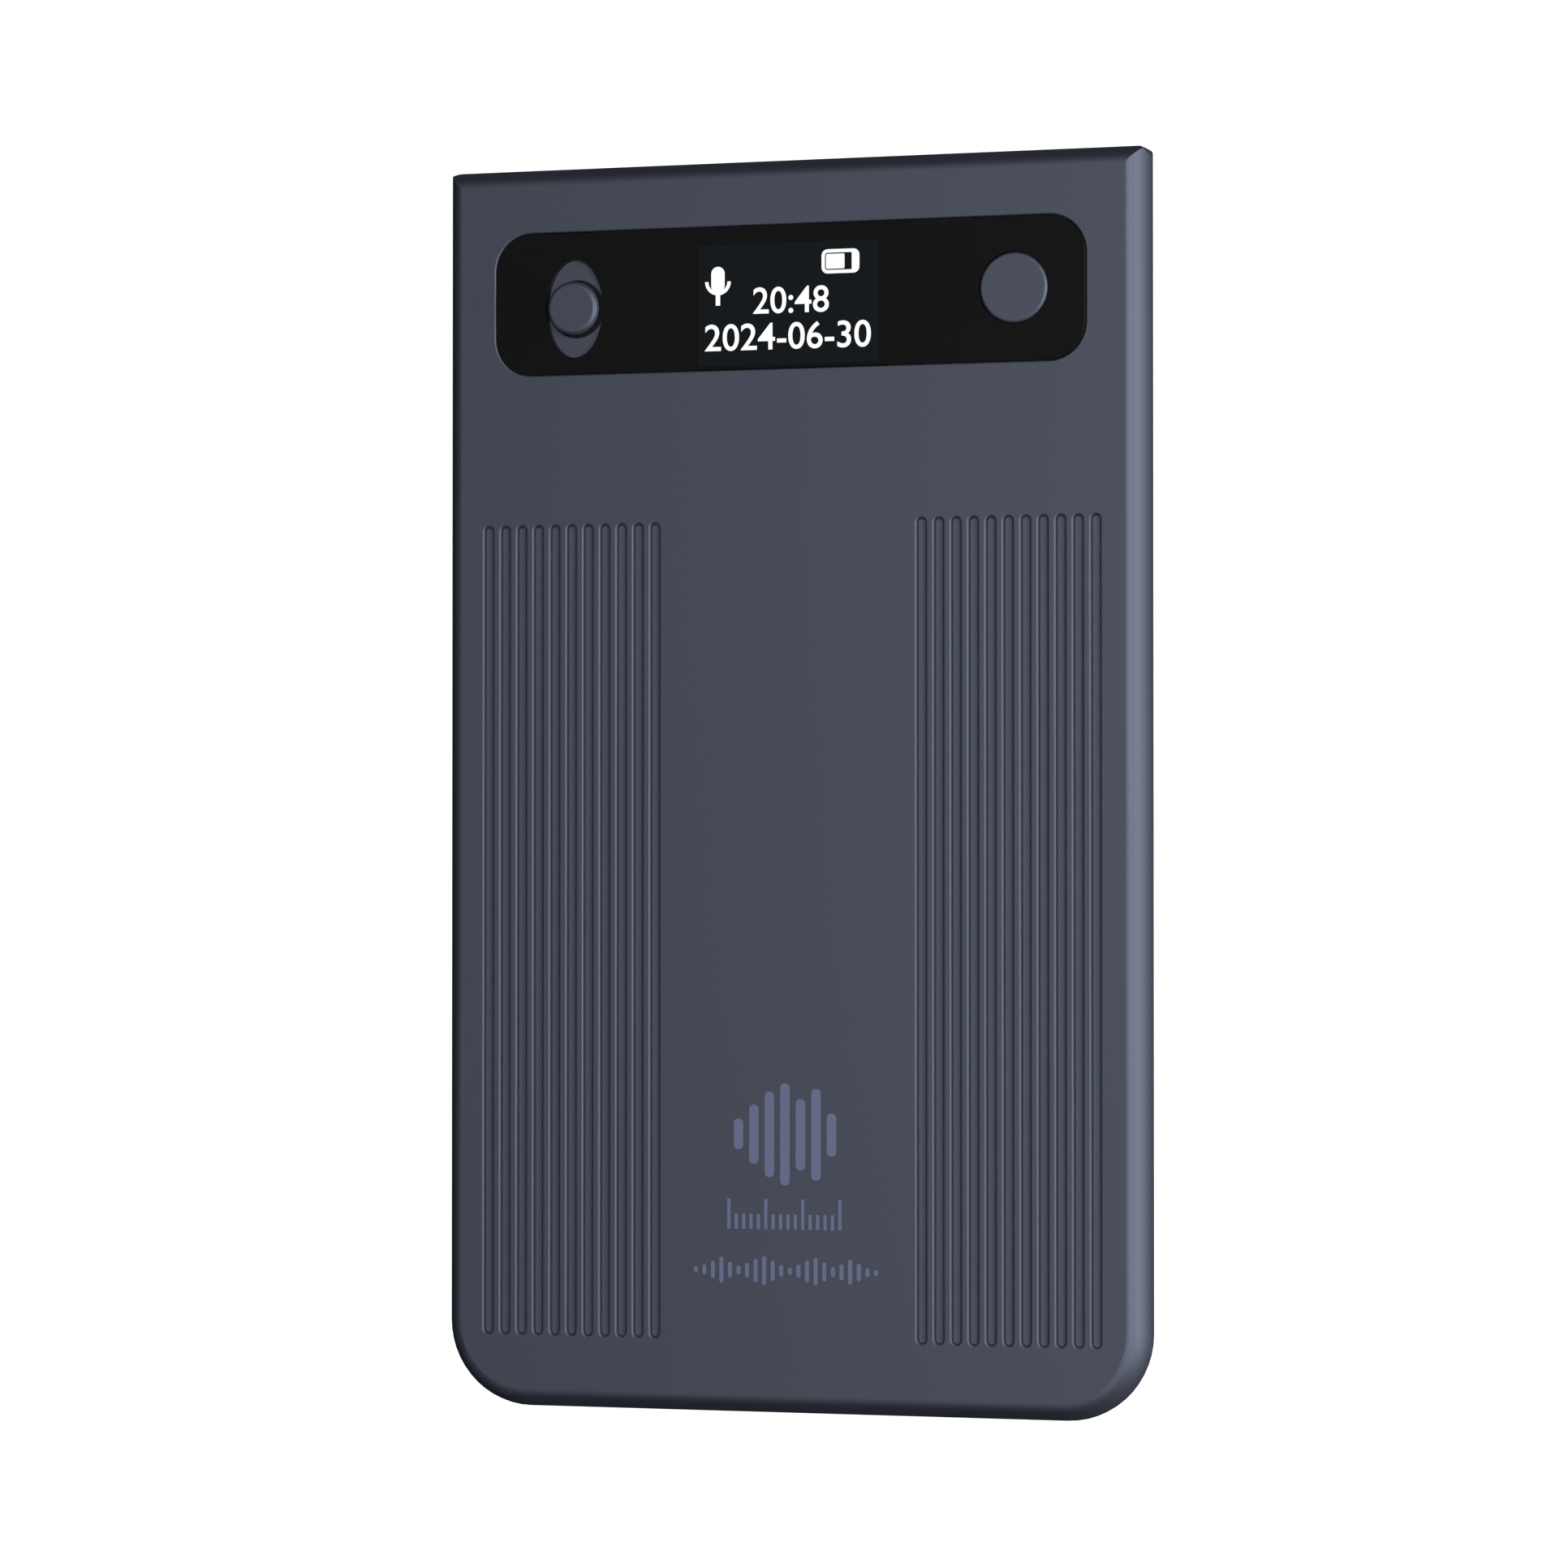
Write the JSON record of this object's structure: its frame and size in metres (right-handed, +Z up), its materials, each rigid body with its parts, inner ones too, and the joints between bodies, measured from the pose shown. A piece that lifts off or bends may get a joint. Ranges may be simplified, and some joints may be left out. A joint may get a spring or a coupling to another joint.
{
  "type": "handheld voice recorder",
  "caption": "Card-thin handheld voice recorder with a black display panel, a sliding mode switch, a round record button and grooved grips.",
  "frame": {"origin": "middle of the flat back face, which the recorder lies on", "axes": "+X to the right of the display, +Y along the length towards the display end, +Z up out of the front face"},
  "size_m": [0.054, 0.0914, 0.0049],
  "materials": {
    "body_paint": "satin dark blue-grey anodised",
    "black_panel": "black acrylic, soft gloss",
    "display_glass": "dark display cover, soft gloss",
    "display_back": "matt",
    "black_tape": "adhesive film",
    "black_plastic": "fine moulded",
    "switch_plastic": "moulded",
    "foam": "open foam",
    "boot_rubber": "matt",
    "amber_ribbon": "polyimide film",
    "connector_plastic": "moulded",
    "board_laminate": "green solder mask",
    "chip_epoxy": "moulded epoxy",
    "ceramic_parts": "ceramic",
    "can_metal": "tinned sheet",
    "screw_steel": "black zinc",
    "gold_contact": "gold plated",
    "magnet_nickel": "nickel plated",
    "battery_foil": "foil pouch",
    "lead_red": "wire insulation",
    "lead_black": "wire insulation"
  },
  "bodies": {
    "root": {"front_housing": "body_paint", "back_cover": "body_paint", "back_cover_screws": "screw_steel", "board_screws": "screw_steel", "lens_panel": "black_panel", "lens_tape": "black_tape", "display_window": "display_glass", "display_module": "display_back", "display_foam": "foam", "display_ribbon": "amber_ribbon", "display_connector": "connector_plastic", "mode_switch_body": "can_metal", "record_switch_base": "black_plastic", "record_switch_dome": "can_metal", "main_board": "board_laminate", "shield_can": "can_metal", "processor": "chip_epoxy", "power_chip": "chip_epoxy", "flash_memory": "chip_epoxy", "audio_chip": "chip_epoxy", "crystal": "can_metal", "main_board_parts": "ceramic_parts", "microphones": "can_metal", "microphone_boots": "boot_rubber", "battery": "battery_foil", "battery_tape": "black_tape", "battery_board": "board_laminate", "battery_lead_positive": "lead_red", "battery_lead_negative": "lead_black", "battery_connector": "connector_plastic", "charge_board": "board_laminate", "charge_chip": "chip_epoxy", "charge_board_parts": "ceramic_parts", "contact_holder": "black_plastic", "charge_contacts": "gold_contact", "charge_magnets": "magnet_nickel", "link_ribbon": "amber_ribbon", "link_connectors": "connector_plastic"},
    "mode_switch": {"mode_switch_knob": "body_paint", "mode_switch_plate": "body_paint", "mode_switch_carrier": "black_plastic", "mode_switch_lever": "black_plastic"},
    "record_button": {"record_button": "body_paint", "record_switch_plunger": "switch_plastic"}
  },
  "joints": [
    {"name": "mode_switch_slide", "type": "slide", "parent": "root", "child": "mode_switch", "axis": [0, 1, 0], "range_m": [-0.0015, 0.0015]},
    {"name": "record_button_press", "type": "slide", "parent": "root", "child": "record_button", "axis": [0, 0, -1], "range_m": [0, 0.00025], "stiffness_N_per_m": 4000, "springref_m": -0.0001, "deforming": ["record_switch_dome"]}
  ]
}
